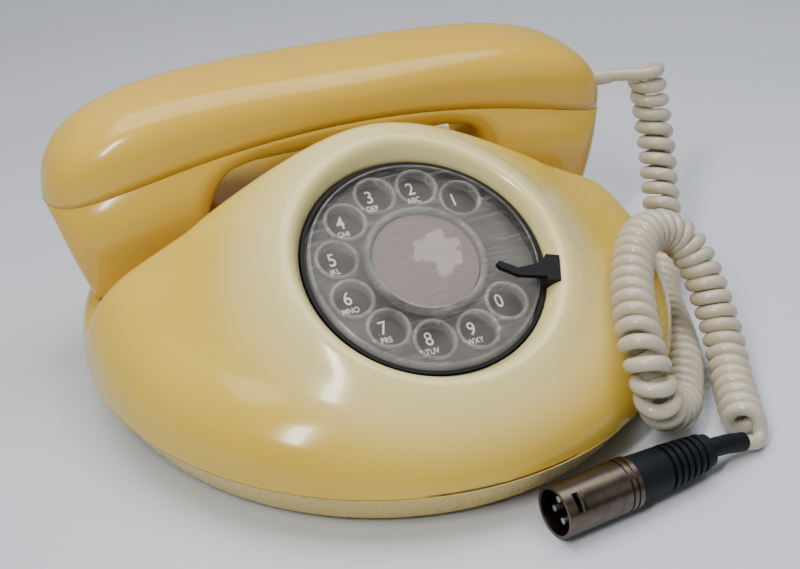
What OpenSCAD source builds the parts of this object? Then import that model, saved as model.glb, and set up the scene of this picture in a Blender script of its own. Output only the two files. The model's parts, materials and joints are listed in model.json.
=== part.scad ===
// Round desk telephone with a rotary dial, a centre well and a lift-off handset.
// Millimetres. Origin on the table at the centre of the round body, +Z up, front towards -Y.

/* [Body] */
// Radius of the round body at its parting line
body_r = 114; // [108:1:122]
// Height of the parting line between the base and the housing
seam_z = 18; // [16:1:20]
// Radius of the bottom edge of the base
base_edge_r = 104.8; // [100:0.2:107]
// Height of the rubber feet under the base
foot_h = 3; // [2:0.5:4]
// Wall thickness of the moulded housing
wall = 2.8; // [2.2:0.1:3.2]
// Wall thickness of the base
base_wall = 3; // [2.4:0.1:3.4]
// How far the side wall leans in over its height
side_lean = 2.5; // [1:0.5:4]

/* [Well and cradle] */
// Radius of the open well behind the dial
well_r = 26; // [24:0.5:28]
// Distance of the well behind the body's centre
well_y = 46; // [44:0.5:48]
// Distance of the crest's rear face behind the body's centre
crest_y = 12; // [11:0.5:14]
// Height of the two pocket floors that the handset rests on
pocket_z = 32; // [30:0.5:34]
// Half width of the saddle between the pockets
saddle_w = 53; // [50:0.5:54]
// Height of the saddle
saddle_z = 58; // [52:1:60]
// Height of the rear of the ring
rear_z = 50; // [46:1:54]
// Where the rear of the ring starts to rise
rear_y = 73; // [72:0.5:76]

/* [Dial] */
// Tilt of the dial from level
dial_tilt = 28; // [24:1:32]
// Distance of the dial's centre in front of the body's centre
dial_y = -44; // [-46:0.5:-42]
// Height of the dial's centre
dial_z = 65.2; // [64:0.2:67]
// Radius of the opening in the housing's dial lip
lip_r = 45; // [44.5:0.1:46]
// Height of the lip's crest over the bezel
lip_h = 6; // [4:0.5:8]
// Radius of the clear finger wheel
wheel_r = 42.2; // [41:0.1:42.4]
// Thickness of the finger wheel
wheel_t = 4.2; // [3.6:0.1:4.4]
// Radius of a finger hole
finger_r = 6.4; // [6:0.1:6.8]
// Radius of the circle that the finger holes sit on
finger_circle_r = 31.8; // [30.5:0.1:32.2]
// Angle of the first finger hole
first_hole = 45; // [40:1:50]
// Angle of the finger stop
stop_angle = -20; // [-24:1:-18]
// Radius of the number card in the middle
card_r = 19.4; // [17:0.1:19.8]

/* [Dial movement] */
// Tooth size of the dial's gears
gear_mod = 0.75; // [0.7:0.01:0.78]
// Teeth of the main gear
main_teeth = 40; // [36:1:42]
// Teeth of the pulse pinion
pinion_teeth = 12; // [12:1:13]
// Teeth of the speed gear
speed_teeth = 32; // [30:1:34]
// Teeth of the governor pinion
governor_teeth = 10; // [10:1:11]
// Direction from the pulse shaft to the governor shaft
governor_angle = 200; // [195:1:205]
// Radius of the main shaft
main_shaft_r = 3; // [2.6:0.1:3.2]
// Running clearance of a shaft in its bore
run_gap = 0.06; // [0.04:0.01:0.09]

/* [Handset] */
// Half length of the handset
hand_a = 116; // [112:1:118]
// Half width of the handset
hand_w = 24.5; // [23:0.5:25]
// Distance of the handset's centre line behind the body's centre
hand_y = 45; // [44.5:0.5:46]
// Height of the handset's top
hand_top = 110.5; // [108:0.5:113]
// Height of the parting line at the middle
hand_seam = 92; // [90:0.5:93]
// How far the parting line falls at the ends
hand_drop = 20; // [18:0.5:21]
// Height of the underside of the handle
grip_z = 82; // [80:0.5:83]
// Wall thickness of the handset shells
hand_wall = 2.6; // [2.2:0.1:2.9]
// Radius of the ear and mouth caps
cap_r = 15; // [13.5:0.1:15.6]
// Distance of the caps from the middle of the handset
cap_x = 82; // [81:0.5:83]

/* [Plug] */
// Radius of the plug's metal shell
plug_r = 9.5; // [9:0.1:9.5]
// Length of the metal shell
shell_l = 31; // [29:1:32]
// Length of the rubber boot
boot_l = 35; // [33:1:35]

/* [Hidden] */
$fn = 96;

cream = [0.80, 0.72, 0.47];
golden = [0.78, 0.62, 0.30];
cord_white = [0.78, 0.76, 0.68];
eps = 0.01;

// Base
floor_z = foot_h + base_wall;
boss_r = 4;
boss_place_r = 97;
boss_angles = [-30, 50, 130, 210];
screw_r = 1.55;
tongue_gap = 3.2;
tongue_h = 2.5;
foot_r = 8;
foot_place_r = 88;
foot_angles = [-42, 42, 138, 222];

// Soft maximum of two distances, blended over k
function smax(a, b, k) = let (h = max(k - abs(a - b), 0) / k) max(a, b) + h * h * k / 4;
function unit(v) = v / norm(v);

// Radius of the housing's side wall at height z
function side_r(z) = body_r - side_lean * pow((z - seam_z) / 30, 2);

// The roof is a tilted sheet that falls away to both sides, more so towards the back
roof_soft = 12;
function roof_fall(x, y) =
    let (k = max(0.495 + 0.0033 * y, 0.15)) sqrt(pow(k * x, 2) + pow(roof_soft, 2)) - roof_soft;
function roof_z(x, y) = dial_z + 1.7 + (y - dial_y) * tan(dial_tilt) - roof_fall(x, y);

// Distance from the outer surface of the whole dome, before the well and the cradle are cut
function dome_d(p) =
    smax(norm([p.x, p.y]) - side_r(p.z), (p.z - roof_z(p.x, p.y)) * cos(dial_tilt), 16);

// Where a ray from `from` along `dir` meets the surface that lies `inset` inside the dome
function meets(from, dir, inset, near = 0, far = 210, n = 15) =
    let (t = (near + far) / 2)
    n == 0 ? from + t * dir
    : dome_d(from + t * dir) + inset > 0
        ? meets(from, dir, inset, near, t, n - 1)
        : meets(from, dir, inset, t, far, n - 1);

// Dome as rows of points: close together up the side wall, wider over the roof
dome_eye = [0, dial_y, seam_z];
wall_rows = [0, 5, 10, 14, 17.5, 21, 24.5, 28, 33, 40];
roof_rows = 8;
module dome(inset, across) {
    aims = [for (i = [0 : across - 1]) body_r * [cos(360 * i / across), sin(360 * i / across), 0] - [0, dial_y, 0]];
    function tip(q, i) =
        let (
            last = len(wall_rows) - 1,
            start = atan(wall_rows[min(i, last)] / norm(q))
        )
        start + (87 - start) * max(i - last, 0) / roof_rows;
    skin([
        for (i = [0 : len(wall_rows) + roof_rows - 1])
        [for (q = aims) let (e = tip(q, i)) meets(dome_eye, cos(e) * unit(q) + [0, 0, sin(e)], inset)]
    ]);
}

// Skin over a row of closed loops, capped at both ends
module skin(loops) {
    n = len(loops[0]);
    rows = len(loops);
    sides = [
        for (i = [0 : rows - 2], j = [0 : n - 1])
        let (m = (j + 1) % n)
        [i * n + j, (i + 1) * n + j, (i + 1) * n + m, i * n + m]
    ];
    start = [for (j = [0 : n - 1]) j];
    end = [for (j = [0 : n - 1]) rows * n - 1 - j];
    polyhedron([for (l = loops, p = l) p], concat(sides, [start, end]), convexity = 10);
}

// Dial frame of reference: its +Z is the dial's axis, and its origin is the top of the bezel
module at_dial() {
    translate([0, dial_y, dial_z])
        rotate([dial_tilt, 0, 0])
            children();
}

module ring_of(angles, r) {
    for (a = angles)
        rotate([0, 0, a])
            translate([r, 0, 0])
                children();
}

// A tube between two heights
module tube(r_out, r_in, z0, z1) {
    translate([0, 0, z0])
        difference() {
            cylinder(r = r_out, h = z1 - z0);
            translate([0, 0, -1])
                cylinder(r = r_in, h = z1 - z0 + 2);
        }
}

module rod(r, z0, z1) {
    translate([0, 0, z0])
        cylinder(r = r, h = z1 - z0);
}

// Base: a shallow dish with the well's lower half, screw holes and a tongue inside the parting line
inlet_angle = 90;
inlet_z = foot_h + 8;
inlet_r = 5;
wheel_slot = [18, 26, 4.2];
volume_angle = 20;
volume_r = 13.6;
volume_place_r = 97.4;
module base_shell() {
    inner_r = body_r - base_wall;
    color(cream)
        difference() {
            union() {
                difference() {
                    rotate_extrude()
                        polygon([
                            [0, foot_h], [base_edge_r, foot_h], [body_r, seam_z], [inner_r, seam_z],
                            [base_edge_r - base_wall, floor_z], [0, floor_z]
                        ]);
                    translate([0, well_y, 0])
                        rod(well_r, 0, seam_z + 1);
                }
                translate([0, well_y, 0])
                    tube(well_r + wall, well_r, foot_h, seam_z);
                difference() {
                    tube(inner_r - tongue_gap, inner_r - tongue_gap - 1.6, seam_z - 5, seam_z + tongue_h);
                    ring_of(boss_angles, boss_place_r)
                        translate([14, 0, seam_z])
                            cube([16, 6, 14], center = true);
                }
            }
            ring_of(boss_angles, boss_place_r) {
                rod(screw_r + 0.3, 0, floor_z + 1);
                rod(3.6, foot_h - 1, foot_h + 1.2);
            }
            ring_of(foot_angles, foot_place_r)
                rod(2.6, foot_h - 1, floor_z + 1);
            rotate([0, 0, inlet_angle])
                translate([body_r - 14, 0, inlet_z])
                    rotate([0, 90, 0])
                        cylinder(r = inlet_r, h = 20);
            rotate([0, 0, volume_angle])
                translate([body_r - 16, -wheel_slot.y / 2, foot_h + 6])
                    cube([wheel_slot.x, wheel_slot.y, wheel_slot.z]);
        }
}

module rubber_feet() {
    color("dimgray")
        ring_of(foot_angles, foot_place_r) {
            rod(foot_r, 0, foot_h);
            rod(2.55, foot_h, floor_z + 0.8);
        }
}

// Line cord inlet: a flanged rubber grommet in the base's rear wall
inlet_bore_r = 2.6;
module line_cord_grommet() {
    inner_x = body_r - base_wall - 11.5;
    color("dimgray")
        rotate([0, 0, inlet_angle])
            translate([0, 0, inlet_z])
                rotate([0, 90, 0])
                    difference() {
                        rod(inlet_r - 0.05, inner_x, body_r - 3);
                        rod(inlet_bore_r, inner_x - 1, body_r);
                    }
}

// Upper housing: the shell of the ring, the flared dial lip, screw bosses and the openings
lip_crest_r = lip_r + 4.5;
lip_wall = 3.5;
seat_h = -5;
flange_r = 49;
notch_w = 11;
plunger_r = 4;
plunger_at = [-cap_x, hand_y];
module dial_lip() {
    rotate_extrude()
        polygon([
            [lip_r, seat_h], [lip_r, 1], [lip_r + 1.6, lip_h - 1.6], [lip_crest_r, lip_h],
            [lip_crest_r + 3, lip_h - 0.8], [lip_crest_r + 8, 0.5], [lip_crest_r + 20, -15],
            [lip_crest_r + 17, -16], [lip_crest_r + 6, -3], [lip_crest_r, seat_h]
        ]);
}

module screw_boss() {
    rod(boss_r, floor_z, 27);
    translate([0, -1.2, seam_z + 1.5])
        cube([body_r - boss_place_r - 1.2, 2.4, 7.5]);
}

// Space over the cradle: pockets at both sides, the saddle between them and the rear of the ring.
// `grow` widens it on every side.
module cradle_space(grow) {
    big = 2 * body_r;
    difference() {
        translate([-big / 2, crest_y - grow, pocket_z - grow])
            cube([big, big, big]);
        translate([grow - saddle_w, 0, 0])
            cube([2 * (saddle_w - grow), rear_y + 6 - grow, saddle_z - grow]);
        translate([-big / 2, rear_y + grow, 0])
            cube([big, big, rear_z - grow]);
    }
}

// Rounds the rim of the ring at height z where the ring's top meets its side wall
module rim_rounding(z, r, from_y, to_y) {
    edge = side_r(z);
    intersection() {
        rotate_extrude()
            difference() {
                translate([edge - r, z - r])
                    square([r + 3, r + 1]);
                translate([edge - r, z - r])
                    circle(r = r);
            }
        translate([-150, from_y, 0])
            cube([300, to_y - from_y, 100]);
    }
}

module upper_housing() {
    color(cream)
        difference() {
            union() {
                difference() {
                    dome(0, 72);
                    difference() {
                        translate([0, 0, -0.01])
                            dome(wall, 48);
                        cradle_space(wall);
                        translate([0, well_y, 0])
                            rod(well_r + wall, 0, 100);
                    }
                    cradle_space(0);
                    rim_rounding(rear_z, 6, rear_y, 150);
                    rim_rounding(pocket_z, 5, crest_y + 1, rear_y);
                    at_dial() {
                        rod(lip_r, -12, 30);
                        rod(flange_r + 1.5, -40, seat_h);
                    }
                }
                intersection() {
                    at_dial()
                        dial_lip();
                    translate([-100, -150, 0])
                        cube([200, 150 + crest_y - 4.5, 120]);
                }
                ring_of(boss_angles, boss_place_r)
                    screw_boss();
            }
            translate([0, well_y, 0])
                rod(well_r, 0, 100);
            ring_of(boss_angles, boss_place_r)
                rod(screw_r + 0.05, floor_z - 1, 22.5);
            translate(plunger_at)
                rod(plunger_r + run_gap, seam_z, pocket_z + 12);
            at_dial() {
                rotate([0, 0, stop_angle])
                    translate([lip_r - 2, -notch_w / 2, seat_h - 1])
                        cube([5.6, notch_w, 20]);
                ring_of([60, 180, 300], dial_screw_place_r)
                    rod(dial_screw_r + 0.05, seat_h - 1, -1.5);
            }
        }
}

module housing_screws() {
    color("silver")
        ring_of(boss_angles, boss_place_r) {
            rod(3.3, foot_h, foot_h + 1.2);
            rod(screw_r, foot_h + 1.2, 22);
        }
}

// Dial: fixed parts
bezel_in_r = lip_r - 2;
plate_h = seat_h - 2;
dial_screw_r = 1;
dial_screw_place_r = 46.9;
frame_t = 1.5;
module dial_bezel() {
    color("black")
        at_dial()
            difference() {
                union() {
                    tube(lip_r - 0.6, bezel_in_r, plate_h, 0);
                    tube(flange_r, bezel_in_r, plate_h, seat_h);
                }
                rotate([0, 0, stop_angle])
                    translate([bezel_in_r - 1, -notch_w / 2, seat_h])
                        cube([lip_r + 2 - bezel_in_r, notch_w, 20]);
                ring_of([60, 180, 300], dial_screw_place_r)
                    rod(dial_screw_r + 0.05, plate_h - 1, 1);
            }
}

module number_plate() {
    color("black")
        at_dial()
            tube(bezel_in_r - 0.2, main_shaft_r + 3, plate_h, plate_h + 1);
}

pulse_at = [0, gear_mod * (main_teeth + pinion_teeth) / 2];
governor_d = gear_mod * (speed_teeth + governor_teeth) / 2;
governor_at = pulse_at + governor_d * [cos(governor_angle), sin(governor_angle)];
pillar_angles = [30, 150, 210, 330];
pillar_place_r = 34;
back_h = -24;
pulse_shaft_r = 1.5;
governor_shaft_r = 1;
module dial_frame() {
    color("silver")
        at_dial()
            difference() {
                union() {
                    rod(flange_r - 0.5, plate_h - frame_t, plate_h);
                    ring_of(pillar_angles, pillar_place_r)
                        rod(2, back_h + frame_t, plate_h - frame_t);
                }
                rod(main_shaft_r + run_gap, plate_h - 4, 0);
                translate(pulse_at)
                    rod(pulse_shaft_r + run_gap, plate_h - 4, 0);
                translate(governor_at)
                    rod(governor_shaft_r + run_gap, plate_h - 4, 0);
                ring_of([60, 180, 300], dial_screw_place_r)
                    rod(dial_screw_r + 0.05, plate_h - 4, 0);
            }
}

module dial_back_plate() {
    color("silver")
        at_dial()
            difference() {
                rod(37, back_h, back_h + frame_t);
                rod(main_shaft_r + run_gap, back_h - 1, 0);
                translate(pulse_at)
                    rod(pulse_shaft_r + run_gap, back_h - 1, 0);
                translate(governor_at)
                    rod(governor_shaft_r + run_gap, back_h - 1, 0);
            }
}

module dial_screws() {
    color("silver")
        at_dial()
            ring_of([60, 180, 300], dial_screw_place_r) {
                rod(2, plate_h - frame_t - 1.4, plate_h - frame_t);
                rod(dial_screw_r, plate_h - frame_t, -2);
            }
}

// Finger stop: a foot in the lip's notch and a hooked arm over the wheel
stop_tip_r = 24.8;
stop_h = 3.6;
module finger_stop() {
    color("black")
        at_dial()
            rotate([0, 0, stop_angle]) {
                translate([bezel_in_r + 0.2, -notch_w / 2 + 0.2, seat_h])
                    cube([lip_r + 3 - bezel_in_r, notch_w - 0.4, stop_h + 2 - seat_h]);
                translate([0, 0, stop_h])
                    linear_extrude(2)
                        polygon([
                            [bezel_in_r + 0.4, -4], [bezel_in_r + 0.4, 4.6], [bezel_in_r - 3, 1],
                            [stop_tip_r + 8, -1.6], [stop_tip_r + 1, 0.6], [stop_tip_r, -0.8],
                            [stop_tip_r + 1.4, -2.2], [stop_tip_r + 8, -4.6]
                        ]);
            }
}

// Dial: turning parts
wheel_top = 1.8;
wheel_bottom = wheel_top - wheel_t;
collar_r = card_r + 2.8;
hub_r = 8;
module finger_wheel() {
    color([0.75, 0.78, 0.80, 0.45])
        at_dial()
            difference() {
                union() {
                    rod(wheel_r, wheel_bottom, wheel_top);
                    tube(collar_r, card_r + 0.3, wheel_top, wheel_top + 2.6);
                    rod(hub_r, plate_h + 1.6, wheel_bottom);
                }
                ring_of([for (i = [0 : 9]) first_hole + 30 * i], finger_circle_r)
                    rod(finger_r, wheel_bottom - 1, wheel_top + 1);
                rod(main_shaft_r + 0.02, plate_h, wheel_top + 1);
                rod(4.6, wheel_top - 1.6, wheel_top + 1);
            }
}

module center_screw() {
    color("silver")
        at_dial()
            rod(4.4, wheel_top - 1.5, wheel_top - 0.1);
}

module number_card() {
    color([0.66, 0.56, 0.52])
        at_dial()
            rod(card_r, wheel_top, wheel_top + 0.3);
}

module center_cap() {
    rim = wheel_top + 0.35;
    color([0.85, 0.87, 0.88, 0.4])
        at_dial()
            rotate_extrude()
                polygon([
                    [0, rim], [card_r, rim], [card_r, rim + 1.6], [card_r - 1, rim + 2.5],
                    [card_r * 0.7, rim + 3.2], [card_r * 0.4, rim + 3.6], [0, rim + 3.75]
                ]);
}

module dial_shaft() {
    color("silver")
        at_dial()
            rod(main_shaft_r, back_h - 1.5, wheel_top - 1.6);
}

// Involute gear. `aim` turns a tooth to that direction, or a gap when `gap` is set.
pressure = 20;
function roll(rb, r) = sqrt(max(pow(r / rb, 2) - 1, 0)) * 180 / PI;
function unwind(rb, r) = let (t = roll(rb, r)) t - atan(t * PI / 180);
module gear(teeth, h, bore, aim = 0, gap = false, slack = 0.3) {
    pr = gear_mod * teeth / 2;
    rb = pr * cos(pressure);
    tip = pr + gear_mod * 0.65;
    root = pr - gear_mod * 1.15;
    start = max(rb, root);
    half_pitch = 90 / teeth - slack / pr * 90 / PI;
    flank = [for (i = [0 : 3]) let (r = start + (tip - start) * i / 3)
        [r, half_pitch + unwind(rb, pr) - unwind(rb, r)]];
    tooth = concat([[root, flank[0].y]], flank);
    turn = aim + (gap ? 180 / teeth : 0);
    linear_extrude(h)
        difference() {
            polygon([
                for (i = [0 : teeth - 1], side = [0, 1], j = [0 : 4])
                let (q = side == 0 ? tooth[j] : tooth[4 - j], a = turn + 360 * i / teeth + (side == 0 ? -q.y : q.y))
                q.x * [cos(a), sin(a)]
            ]);
            circle(r = bore);
        }
}

layer_a = -12.5;
layer_b = -16;
module main_gear() {
    color("goldenrod")
        at_dial() {
            translate([0, 0, layer_a])
                gear(main_teeth, 1.5, main_shaft_r, aim = 90);
            tube(6, main_shaft_r, layer_a - 3, layer_a);
        }
}

// Return spring of the dial: a flat spiral round the main shaft
spring_turns = 3;
module dial_spring() {
    steps = 72;
    function coil_p(i, d) =
        let (a = 360 * spring_turns * i / steps, r = 7 + 4 * i / steps + d) r * [cos(a), sin(a)];
    color("silver")
        at_dial()
            translate([0, 0, -21])
                linear_extrude(3)
                    polygon(concat(
                        [for (i = [0 : steps]) coil_p(i, 0.3)],
                        [for (i = [steps : -1 : 0]) coil_p(i, -0.3)]
                    ));
}

module pulse_shaft() {
    color("silver")
        at_dial()
            translate(pulse_at)
                rod(pulse_shaft_r, back_h - 0.5, plate_h - 0.2);
}

module pulse_pinion() {
    color("goldenrod")
        at_dial()
            translate([pulse_at.x, pulse_at.y, layer_a - 0.5])
                gear(pinion_teeth, 2.5, pulse_shaft_r, aim = 270, gap = true);
}

module speed_gear() {
    color("goldenrod")
        at_dial()
            translate([pulse_at.x, pulse_at.y, layer_b]) {
                gear(speed_teeth, 1, pulse_shaft_r, aim = governor_angle);
                tube(3.4, pulse_shaft_r, 1, 2.6);
            }
}

module pulse_cam() {
    color("white")
        at_dial()
            translate(pulse_at)
                difference() {
                    translate([0.8, 0, 0])
                        rod(4.2, -20, -18.4);
                    rod(pulse_shaft_r, -21, -18);
                }
}

module governor_shaft() {
    color("silver")
        at_dial()
            translate(governor_at)
                rod(governor_shaft_r, back_h - 0.5, plate_h - 0.2);
}

module governor_pinion() {
    color("goldenrod")
        at_dial()
            translate([governor_at.x, governor_at.y, layer_b - 0.5])
                gear(governor_teeth, 2, governor_shaft_r, aim = governor_angle + 180, gap = true);
}

module governor_arms() {
    color("silver")
        at_dial()
            translate([governor_at.x, governor_at.y, -20.6])
                difference() {
                    union() {
                        rod(2.4, 0, 2);
                        for (s = [-1, 1]) {
                            translate([min(0, s * 5.4), -0.7, 0])
                                cube([5.4, 1.4, 2]);
                            translate([s * 4.9, 0, 0])
                                rod(1.3, 0, 2.2);
                        }
                    }
                    rod(governor_shaft_r, -1, 4);
                }
}

module governor_cup() {
    color("silver")
        at_dial()
            translate(governor_at)
                difference() {
                    rod(8, back_h + frame_t, -17.6);
                    rod(7.2, back_h + frame_t + 0.8, -17);
                    rod(governor_shaft_r + run_gap, back_h, -17);
                }
}

// Pulse contacts: two leaf springs between insulating blocks, beside the cam
module pulse_contacts() {
    color("goldenrod")
        at_dial()
            translate([14, pulse_at.y - 4, back_h + frame_t]) {
                cube([7, 8, 2]);
                for (i = [0, 1])
                    translate([0.5 + 2.4 * i, -1, 2])
                        cube([0.4, 14, 3]);
                translate([0, 0, 2])
                    cube([0.5, 5, 3]);
                translate([0.9, 0, 2])
                    cube([2, 5, 3]);
                translate([3.3, 0, 2])
                    cube([3, 5, 3]);
            }
}

// Hook switch under the left pocket
plunger_top = pocket_z - 0.35;
lever_z = 16;
lever_arm = 17;
hook_pin_at = [plunger_at.x + lever_arm, hand_y, lever_z];
module hook_plunger() {
    color(cream)
        translate(plunger_at) {
            rod(plunger_r, lever_z + 3.6, plunger_top);
            rod(plunger_r + 2, lever_z + 3.6, lever_z + 5);
        }
}

module hook_bracket() {
    color("silver")
        translate([hook_pin_at.x, hook_pin_at.y, 0])
            difference() {
                union() {
                    translate([-7, -9, floor_z])
                        cube([16, 18, 1.2]);
                    for (s = [-1, 1])
                        translate([-4, s * 7.5 - 0.75, floor_z])
                            cube([8, 1.5, lever_z - floor_z + 4]);
                }
                translate([0, 10, lever_z])
                    rotate([90, 0, 0])
                        cylinder(r = 1.5 + run_gap, h = 20);
            }
}

module hook_pin() {
    color("silver")
        translate([hook_pin_at.x, hook_pin_at.y + 9.5, lever_z])
            rotate([90, 0, 0])
                cylinder(r = 1.5, h = 19);
}

module hook_lever() {
    color("silver")
        translate(hook_pin_at)
            difference() {
                union() {
                    translate([-lever_arm - 1, -3, 1.6])
                        cube([lever_arm + 3, 6, 1.4]);
                    translate([0, 5.5, 0])
                        rotate([90, 0, 0])
                            cylinder(r = 3, h = 11);
                }
                translate([0, 8, 0])
                    rotate([90, 0, 0])
                        cylinder(r = 1.5 + run_gap, h = 16);
            }
}

module hook_contacts() {
    color("goldenrod")
        translate([plunger_at.x + 2, hand_y + 5.5, floor_z]) {
            cube([7, 10, 3]);
            for (i = [0 : 2])
                translate([1 + 2 * i, 1, 3])
                    cube([0.5, 8, 7 + i]);
        }
}

// Ringer behind the well: two gongs, a frame over them, two coils and a hanging clapper
gong_x = 26;
gong_y = 84;
gong_r = 16;
gong_top = 24;
frame_z = 29;
clapper_y = 86;
clapper_z = 40;
module gong(side) {
    translate([side * gong_x, gong_y, 0])
        difference() {
            rotate_extrude()
                polygon([
                    [1.6, gong_top], [9, gong_top - 0.6], [13.5, gong_top - 3], [15.4, gong_top - 7],
                    [gong_r, gong_top - 14], [gong_r - 1.3, gong_top - 14],
                    [14.1, gong_top - 7.3], [12.6, gong_top - 3.9], [8.8, gong_top - 1.8],
                    [4.5, gong_top - 1.2], [1.6, gong_top - 1.2]
                ]);
        }
}

module gong_left() {
    color("goldenrod")
        gong(-1);
}

module gong_right() {
    color("goldenrod")
        gong(1);
}

module gong_screws() {
    color("silver")
        for (side = [-1, 1])
            translate([side * gong_x, gong_y, 0]) {
                rod(3.5, floor_z, gong_top - 1.2);
                rod(1.5, gong_top - 1.2, gong_top);
                rod(3.6, gong_top, gong_top + 1.6);
            }
}

module ringer_frame() {
    color("silver")
        difference() {
            union() {
                translate([-50, 79, frame_z])
                    cube([100, 20, 1.5]);
                for (s = [-1, 1]) {
                    translate([s * 46.5, 83, 0])
                        rod(3, floor_z, frame_z);
                    translate([-4, clapper_y + s * 3.75 - 0.75, frame_z + 1.5])
                        cube([8, 1.5, clapper_z - frame_z + 1]);
                }
            }
            translate([-5.5, clapper_y - 2.5, frame_z - 1])
                cube([11, 5, 4]);
            translate([0, clapper_y + 10, clapper_z])
                rotate([90, 0, 0])
                    cylinder(r = pin_r, h = 20);
        }
}

pin_r = 1.2;
module ringer_pin() {
    color("silver")
        translate([0, clapper_y + 5.5, clapper_z])
            rotate([90, 0, 0])
                cylinder(r = pin_r, h = 11);
}

module ringer_coils() {
    color("brown")
        for (s = [-1, 1]) {
            translate([s * 19 - 8, 91, frame_z + 8.3])
                rotate([0, 90, 0])
                    cylinder(r = 5, h = 16);
            for (e = [-8, 6.8])
                translate([s * 19 + e, 84.2, frame_z + 1.5])
                    cube([1.2, 13.6, 13.6]);
        }
}

module clapper() {
    ball_z = 15;
    color("silver")
        translate([0, clapper_y, clapper_z])
            difference() {
                union() {
                    translate([0, 2.6, 0])
                        rotate([90, 0, 0])
                            cylinder(r = 3, h = 5.2);
                    rod(0.9, ball_z - clapper_z, -1.5);
                    translate([0, 0, ball_z - clapper_z])
                        sphere(r = 4.2);
                }
                translate([0, 4, 0])
                    rotate([90, 0, 0])
                        cylinder(r = pin_r + run_gap, h = 8);
            }
}

module volume_wheel() {
    color("ivory")
        rotate([0, 0, volume_angle])
            translate([volume_place_r, 0, foot_h + 6.6])
                tube(volume_r, 2 + run_gap, 0, 3);
}

module volume_pin() {
    color("silver")
        rotate([0, 0, volume_angle])
            translate([volume_place_r, 0, 0]) {
                rod(4, floor_z, foot_h + 6.2);
                rod(2, foot_h + 6.2, foot_h + 10.6);
            }
}

module network_block() {
    color("dimgray")
        translate([-93, -34, floor_z])
            cube([40, 44, 20]);
}

module terminal_block() {
    color("dimgray")
        translate([52, -30, floor_z])
            difference() {
                cube([38, 26, 9]);
                for (i = [0 : 3], j = [0, 1])
                    translate([5 + 9.3 * i, 7 + 12 * j, 3])
                        cylinder(r = 1.25, h = 10);
            }
}

module terminal_screws() {
    color("silver")
        for (i = [0 : 3], j = [0, 1])
            translate([57 + 9.3 * i, -23 + 12 * j, floor_z]) {
                rod(1.2, 4, 9);
                rod(2.6, 9, 10.4);
            }
}

// Handset. Heights of its parting line, its top and its underside along its length
cup_z = pocket_z;
function hand_seam_z(x) = hand_seam - hand_drop * pow(x / hand_a, 2);
function hand_half(x) = hand_w * pow(max(1 - pow(abs(x) / hand_a, 9), 0), 0.45);
function hand_top_z(x) =
    let (end_z = hand_seam - hand_drop)
    end_z + (hand_top - end_z) * pow(max(1 - pow(abs(x) / hand_a, 3.8), 0), 0.435);
function hand_low_z(x) =
    let (
        u = abs(x),
        neck = min(max((u - 40) / 24, 0), 1),
        toe = min(max((u - hand_a + 13) / 13, 0), 1),
        end_z = hand_seam - hand_drop
    )
    grip_z - (grip_z - cup_z) * pow(neck, 4) + (end_z - cup_z) * pow(toe, 1.15);

// Places along the handset where its section is taken: closer at the necks and the ends
function hand_stations() =
    let (half = concat([for (i = [0 : 3]) 11 * i], [42, 47, 51, 55, 58, 60, 62, 64, 66.8, 74, 84, 94, 99],
        [for (i = [0 : 7]) hand_a - 13 + 12.96 * sin(90 * i / 7)]))
    concat([for (i = [len(half) - 1 : -1 : 1]) -half[i]], half);

// Half section from the front edge over the top (side = 1) or under the bottom (side = -1).
// The inner face lies `inset` inside both across and along the handset.
function hand_arc(x, side, inset, n) =
    let (
        u = abs(x),
        w = max(hand_half(min(u + inset, hand_a)) - inset, hand_half(u) * 0.6),
        zs = hand_seam_z(x),
        zt = side > 0
            ? hand_top_z(min(u + inset, hand_a)) - inset
            : max(hand_low_z(max(u - inset, 0)), hand_low_z(min(u + inset, hand_a))) + inset,
        grow = inset == 0 ? 1 : min(max((hand_a - u) / 3 - inset / 2, 0), 1),
        h = side * max(side * (zt - zs), 0) * grow,
        boxy = min(max((u - 40) / 24, 0), 1),
        p = side > 0 ? 2 / 3 : 2 / (3.4 + 4.6 * boxy),
        taper = side > 0 ? 0 : 0.1 / 50
    )
    [for (i = [0 : n])
        let (
            a = 180 * i / n,
            c = cos(a),
            rise = h * pow(sin(a), p),
            y = sign(c) * w * pow(abs(c), p) * (1 - taper * abs(rise))
        )
        [x, hand_y - y, zs + rise]];
function hand_loop(x, side) =
    let (
        outer = hand_arc(x, side, 0, 14),
        inner = hand_arc(x, side, hand_wall, 10),
        loop = concat(outer, [for (i = [10 : -1 : 0]) inner[i]])
    )
    side < 0 ? loop : [for (i = [len(loop) - 1 : -1 : 0]) loop[i]];

hand_screw_x = 30;
hand_joint_z = grip_z + 5;
module handset_upper() {
    color(golden)
        difference() {
            union() {
                skin([for (x = hand_stations()) hand_loop(x, 1)]);
                for (s = [-1, 1])
                    translate([s * hand_screw_x, hand_y, 0])
                        rod(3.4, hand_joint_z, hand_top - 1.6);
            }
            for (s = [-1, 1])
                translate([s * hand_screw_x, hand_y, 0])
                    rod(1.4, hand_joint_z - 1, hand_top - 6);
            translate([hand_a - 12, hand_y, sleeve_z])
                rotate([0, 90, 0])
                    cylinder(r = sleeve_r, h = 20);
        }
}

module handset_lower() {
    color(golden)
        difference() {
            union() {
                skin([for (x = hand_stations()) hand_loop(x, -1)]);
                for (s = [-1, 1])
                    translate([s * hand_screw_x, hand_y, 0])
                        rod(4.2, grip_z + 1.6, hand_joint_z);
            }
            for (s = [-1, 1]) {
                translate([s * hand_screw_x, hand_y, 0]) {
                    rod(1.5, grip_z, hand_joint_z + 1);
                    rod(3, grip_z - 1, grip_z + 2);
                }
                translate([s * cap_x, hand_y, cup_z - 1])
                    cylinder(r = cap_r, h = 8);
            }
        }
}

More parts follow.
